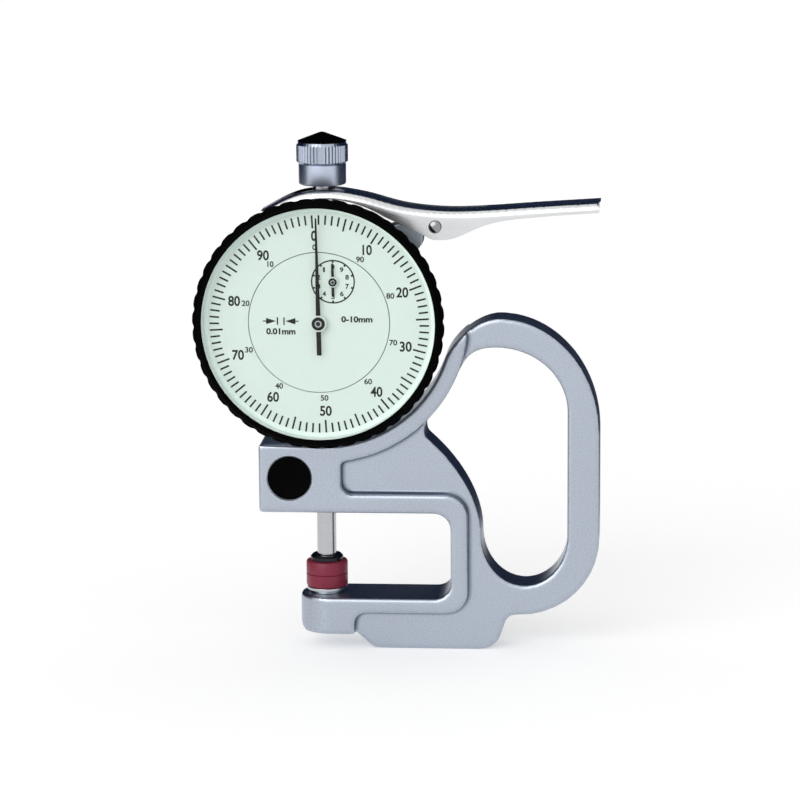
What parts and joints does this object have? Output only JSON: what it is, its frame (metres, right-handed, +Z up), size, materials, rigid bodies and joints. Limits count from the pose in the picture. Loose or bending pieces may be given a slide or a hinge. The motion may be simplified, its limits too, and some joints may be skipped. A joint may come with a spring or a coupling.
{
  "type": "dial thickness gauge",
  "caption": "Hand-held dial thickness gauge: cast C frame with a handle loop, dial indicator with a scalloped bezel, sprung spindle, ceramic contacts and a thumb lifting lever.",
  "frame": {"origin": "centre of the flat underside of the foot, on the middle plane of the frame", "axes": "+Z up along the spindle, +X from the spindle towards the handle, dial facing -Y"},
  "size_m": [0.0925, 0.0257, 0.1206],
  "materials": {
    "cast_aluminium": "satin, fine cast grain",
    "steel": "ground and polished",
    "red_ceramic": "smooth, semi-gloss",
    "black_plastic": "semi-matte black",
    "brass": "turned",
    "ruby": "polished",
    "dial_paint": "matt paint with printed marks",
    "clear_crystal": "clear",
    "rubber": "matte",
    "bright_sheet": "bright plated sheet steel"
  },
  "bodies": {
    "gauge_body": {"frame": "cast_aluminium", "case": "cast_aluminium", "back_cover": "cast_aluminium", "lever_bracket": "cast_aluminium", "anvil_holder": "steel", "clamp_screw": "steel", "stem": "steel", "back_cover_screw_1": "steel", "back_cover_screw_2": "steel", "back_cover_screw_3": "steel", "back_cover_screw_4": "steel", "lever_bracket_screw_front": "steel", "lever_bracket_screw_rear": "steel", "lever_pin": "steel", "spring_post": "steel", "return_spring": "steel", "anvil_ceramic": "red_ceramic", "clamp_cotter_front": "black_plastic", "clamp_cotter_rear": "black_plastic", "stem_bush": "brass", "upper_bush": "brass", "front_plate": "brass", "mid_bridge": "brass", "rear_plate": "brass", "mid_pillar_1": "brass", "mid_pillar_2": "brass", "mid_pillar_3": "brass", "rear_pillar_1": "brass", "rear_pillar_2": "brass", "rear_pillar_3": "brass", "hairspring_stud": "brass", "guide_block": "brass", "centre_jewel_front": "ruby", "centre_jewel_rear": "ruby", "drive_jewel_front": "ruby", "drive_jewel_rear": "ruby", "counter_jewel_front": "ruby", "counter_jewel_rear": "ruby", "inner_dial": "dial_paint"},
    "bezel_ring": {"bezel": "black_plastic", "crystal": "clear_crystal", "dial_ring": "dial_paint", "crystal_gasket": "rubber"},
    "measuring_spindle": {"spindle": "steel", "guide_pin": "steel", "contact_holder": "steel", "contact_ceramic": "red_ceramic", "cap_sleeve": "steel", "cap_knob": "steel", "cap_insert": "black_plastic"},
    "lifting_lever": {"lever": "bright_sheet"},
    "centre_wheel": {"centre_arbor": "steel", "main_pointer": "black_plastic"},
    "drive_wheel": {"drive_arbor": "steel", "drive_gear": "brass"},
    "counter_wheel": {"counter_arbor": "steel", "hairspring_gear": "brass", "hairspring_collet": "brass", "hairspring": "steel", "revolution_pointer": "black_plastic"}
  },
  "joints": [
    {"name": "spindle_slide", "type": "slide", "parent": "gauge_body", "child": "measuring_spindle", "axis": [0, 0, 1], "range_m": [0, 0.01], "stiffness_N_per_m": 50, "springref_m": -0.03, "deforming": ["return_spring"]},
    {"name": "bezel_turn", "type": "hinge", "parent": "gauge_body", "child": "bezel_ring", "pos_m": [-0.02305, 0, 0.0783], "axis": [0, 1, 0], "continuous": true},
    {"name": "lever_lift", "type": "hinge", "parent": "gauge_body", "child": "lifting_lever", "pos_m": [0.00305, 0, 0.0994], "axis": [0, 1, 0], "range_deg": [0, 22.1]},
    {"name": "main_pointer_spin", "type": "hinge", "parent": "gauge_body", "child": "centre_wheel", "pos_m": [-0.02305, 0, 0.0783], "axis": [0, 1, 0], "range_deg": [-1, 3601]},
    {"name": "drive_wheel_spin", "type": "hinge", "parent": "gauge_body", "child": "drive_wheel", "pos_m": [-0.02639, 0, 0.06887], "axis": [0, 1, 0], "range_deg": [-361, 1]},
    {"name": "counter_wheel_spin", "type": "hinge", "parent": "gauge_body", "child": "counter_wheel", "pos_m": [-0.01975, 0, 0.08774], "axis": [0, 1, 0], "range_deg": [-361, 1]}
  ],
  "couplings": [
    {"joint": "lever_lift", "follows": "spindle_slide", "rad_per_m": 38.397},
    {"joint": "main_pointer_spin", "follows": "spindle_slide", "rad_per_m": 6283.2},
    {"joint": "drive_wheel_spin", "follows": "spindle_slide", "rad_per_m": -628.32},
    {"joint": "counter_wheel_spin", "follows": "spindle_slide", "rad_per_m": -628.32}
  ]
}
